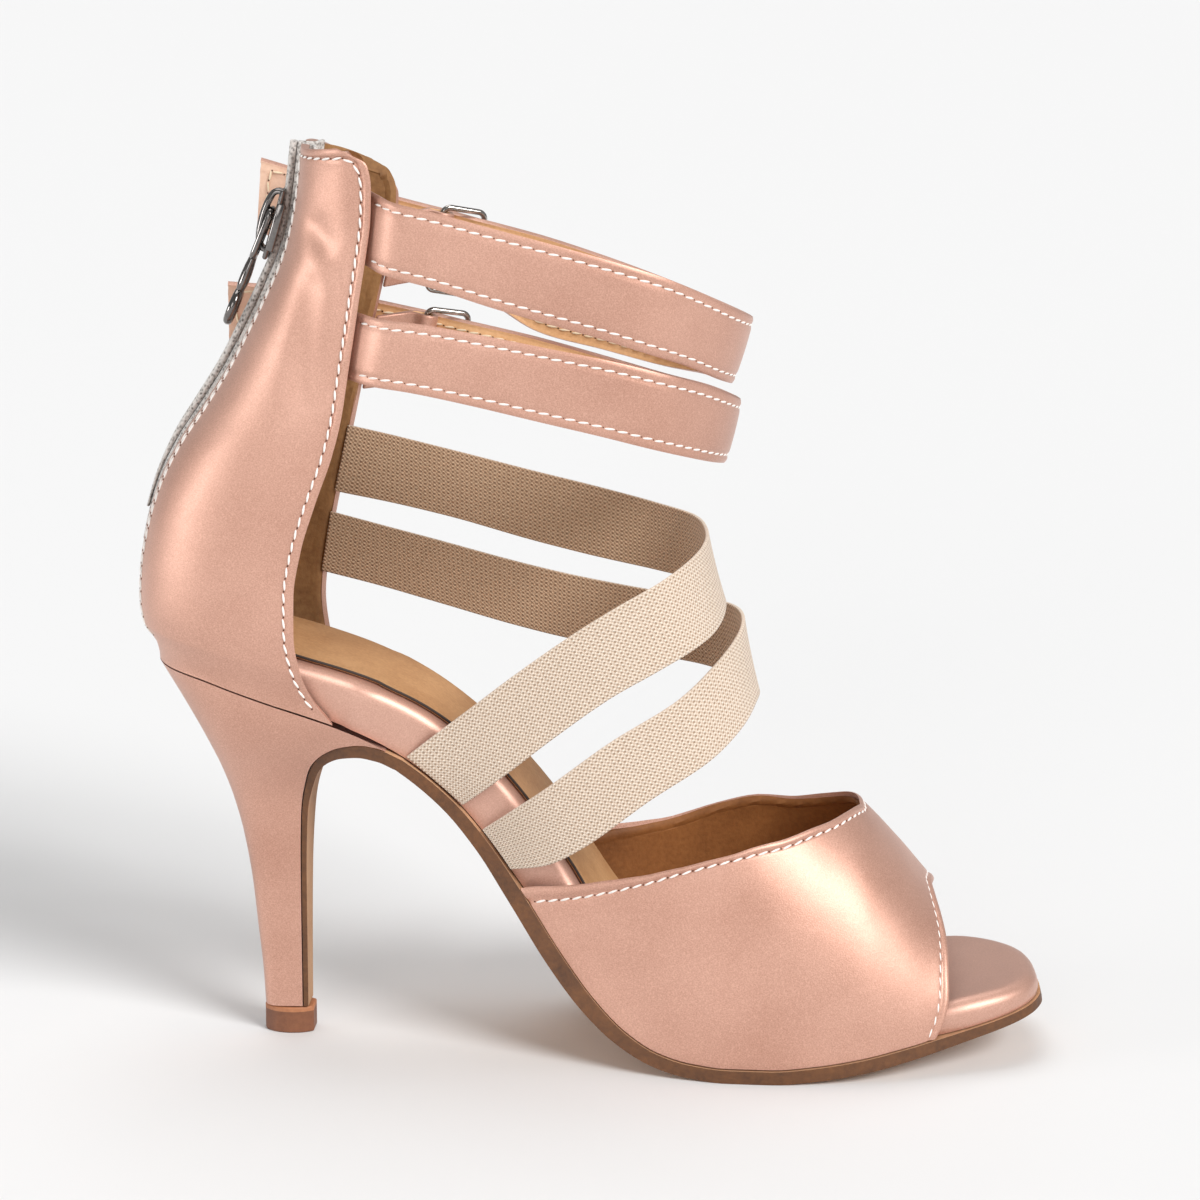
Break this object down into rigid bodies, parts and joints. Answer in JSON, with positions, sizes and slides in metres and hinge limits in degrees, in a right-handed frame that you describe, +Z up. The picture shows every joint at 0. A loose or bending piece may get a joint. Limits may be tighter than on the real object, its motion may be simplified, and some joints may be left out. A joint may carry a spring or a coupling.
{
  "type": "latin dance shoe",
  "caption": "Open-toe latin dance sandal in satin with a slim flared heel, closed back with a zip, buckled ankle straps and elastic bands over the instep.",
  "frame": {"origin": "centre of the heel tip's flat bottom, on the floor", "axes": "+X points to the toe, +Y to the shoe's outer side, +Z up"},
  "size_m": [0.2228, 0.0785, 0.2262],
  "materials": {
    "satin": "light skin-toned satin with a soft sheen",
    "lining": "smooth tan lining",
    "sole_leather": "tan suede underside with a dark brown edge",
    "tip_rubber": "matt dark brown",
    "elastic": "woven skin-toned elastic",
    "tape": "grey-beige woven zip tape",
    "metal": "bright gunmetal"
  },
  "bodies": {
    "shoe": {"outsole": "sole_leather", "heel": "satin", "heel_tip": "tip_rubber", "insole": "satin", "sock": "lining", "counter": "satin", "vamp": "satin", "ankle_strap_upper": "satin", "ankle_strap_lower": "satin", "elastic_upper": "elastic", "elastic_lower": "elastic", "buckle_tab_upper": "satin", "buckle_frame_upper": "metal", "buckle_prong_upper": "metal", "buckle_tab_lower": "satin", "buckle_frame_lower": "metal", "buckle_prong_lower": "metal", "zip_tape": "tape", "zip_teeth": "metal", "zip_slider": "metal"},
    "pull_tab": {"zip_pull": "metal"}
  },
  "joints": [
    {"name": "pull_tab_hinge", "type": "hinge", "parent": "shoe", "child": "pull_tab", "pos_m": [-0.0013, 0, 0.207], "axis": [0, 1, 0], "range_deg": [0, 150]}
  ]
}
